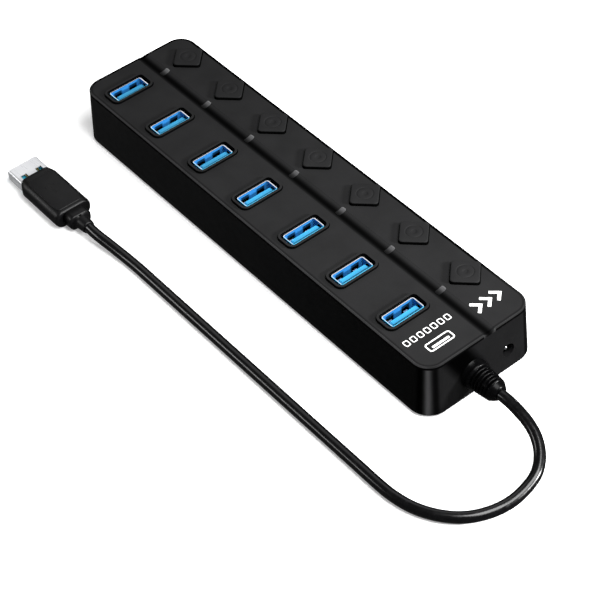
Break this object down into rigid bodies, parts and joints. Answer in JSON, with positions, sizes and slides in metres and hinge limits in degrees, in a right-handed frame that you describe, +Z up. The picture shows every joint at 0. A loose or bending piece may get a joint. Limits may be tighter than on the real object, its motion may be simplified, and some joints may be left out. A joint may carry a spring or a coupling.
{
  "type": "usb hub",
  "caption": "Long black desktop hub with a row of upright type-A ports, a diamond push button and a light beside each, a power inlet, and a short cable with a plug.",
  "frame": {"origin": "on the table, under the middle of the case", "axes": "+X along the case towards the end with the cable and the power inlet, +Y from the ports' side to the buttons' side, +Z up"},
  "size_m": [0.2234, 0.0824, 0.0227],
  "materials": {
    "housing_plastic": "fine moulded texture, slight sheen",
    "cover_plastic": "fine matt moulded texture",
    "board": "green lacquer",
    "port_metal": "bright nickel plate",
    "port_insulator": "bright blue moulded insulator",
    "button_plastic": "fine matt moulded texture",
    "plunger_plastic": "plain moulded",
    "switch_plastic": "plain moulded",
    "lens_plastic": "translucent grey light guide",
    "led_chip": "moulded diode package",
    "contact_gold": "thin gold plate",
    "chip": "moulded chip package",
    "can_metal": "bare can",
    "jack_plastic": "plain moulded",
    "jack_metal": "nickel plate",
    "foot_rubber": "soft matt",
    "screw_steel": "zinc plate",
    "wire_plastic": "insulated wires",
    "relief_rubber": "satin moulded elastomer",
    "cable_jacket": "smooth satin jacket",
    "grip_plastic": "satin overmould",
    "plug_metal": "bright nickel plate",
    "plug_insulator": "blue moulded insulator"
  },
  "bodies": {
    "hub": {"lower_housing": "housing_plastic", "top_cover": "cover_plastic", "circuit_board": "board", "port_shell_1": "port_metal", "port_shell_2": "port_metal", "port_shell_3": "port_metal", "port_shell_4": "port_metal", "port_shell_5": "port_metal", "port_shell_6": "port_metal", "port_shell_7": "port_metal", "port_tongue_1": "port_insulator", "port_tongue_2": "port_insulator", "port_tongue_3": "port_insulator", "port_tongue_4": "port_insulator", "port_tongue_5": "port_insulator", "port_tongue_6": "port_insulator", "port_tongue_7": "port_insulator", "switch_body_1": "switch_plastic", "switch_body_2": "switch_plastic", "switch_body_3": "switch_plastic", "switch_body_4": "switch_plastic", "switch_body_5": "switch_plastic", "switch_body_6": "switch_plastic", "switch_body_7": "switch_plastic", "led_lens_1": "lens_plastic", "led_lens_2": "lens_plastic", "led_lens_3": "lens_plastic", "led_lens_4": "lens_plastic", "led_lens_5": "lens_plastic", "led_lens_6": "lens_plastic", "led_lens_7": "lens_plastic", "status_leds": "led_chip", "port_contacts": "contact_gold", "hub_controllers": "chip", "capacitors": "can_metal", "dc_jack_body": "jack_plastic", "dc_jack_contacts": "jack_metal", "rubber_feet": "foot_rubber", "case_screws": "screw_steel", "cable_leads": "wire_plastic", "strain_relief": "relief_rubber", "cable": "cable_jacket", "plug_grip": "grip_plastic", "plug_shell": "plug_metal", "plug_tongue": "plug_insulator", "plug_contacts": "contact_gold"},
    "button_1": {"button_cap_1": "button_plastic", "switch_plunger_1": "plunger_plastic"},
    "button_2": {"button_cap_2": "button_plastic", "switch_plunger_2": "plunger_plastic"},
    "button_3": {"button_cap_3": "button_plastic", "switch_plunger_3": "plunger_plastic"},
    "button_4": {"button_cap_4": "button_plastic", "switch_plunger_4": "plunger_plastic"},
    "button_5": {"button_cap_5": "button_plastic", "switch_plunger_5": "plunger_plastic"},
    "button_6": {"button_cap_6": "button_plastic", "switch_plunger_6": "plunger_plastic"},
    "button_7": {"button_cap_7": "button_plastic", "switch_plunger_7": "plunger_plastic"}
  },
  "joints": [
    {"name": "press_1", "type": "slide", "parent": "hub", "child": "button_1", "axis": [0, 0, -1], "range_m": [0, 0.001], "stiffness_N_per_m": 900, "springref_m": -0.001},
    {"name": "press_2", "type": "slide", "parent": "hub", "child": "button_2", "axis": [0, 0, -1], "range_m": [0, 0.001], "stiffness_N_per_m": 900, "springref_m": -0.001},
    {"name": "press_3", "type": "slide", "parent": "hub", "child": "button_3", "axis": [0, 0, -1], "range_m": [0, 0.001], "stiffness_N_per_m": 900, "springref_m": -0.001},
    {"name": "press_4", "type": "slide", "parent": "hub", "child": "button_4", "axis": [0, 0, -1], "range_m": [0, 0.001], "stiffness_N_per_m": 900, "springref_m": -0.001},
    {"name": "press_5", "type": "slide", "parent": "hub", "child": "button_5", "axis": [0, 0, -1], "range_m": [0, 0.001], "stiffness_N_per_m": 900, "springref_m": -0.001},
    {"name": "press_6", "type": "slide", "parent": "hub", "child": "button_6", "axis": [0, 0, -1], "range_m": [0, 0.001], "stiffness_N_per_m": 900, "springref_m": -0.001},
    {"name": "press_7", "type": "slide", "parent": "hub", "child": "button_7", "axis": [0, 0, -1], "range_m": [0, 0.001], "stiffness_N_per_m": 900, "springref_m": -0.001}
  ]
}
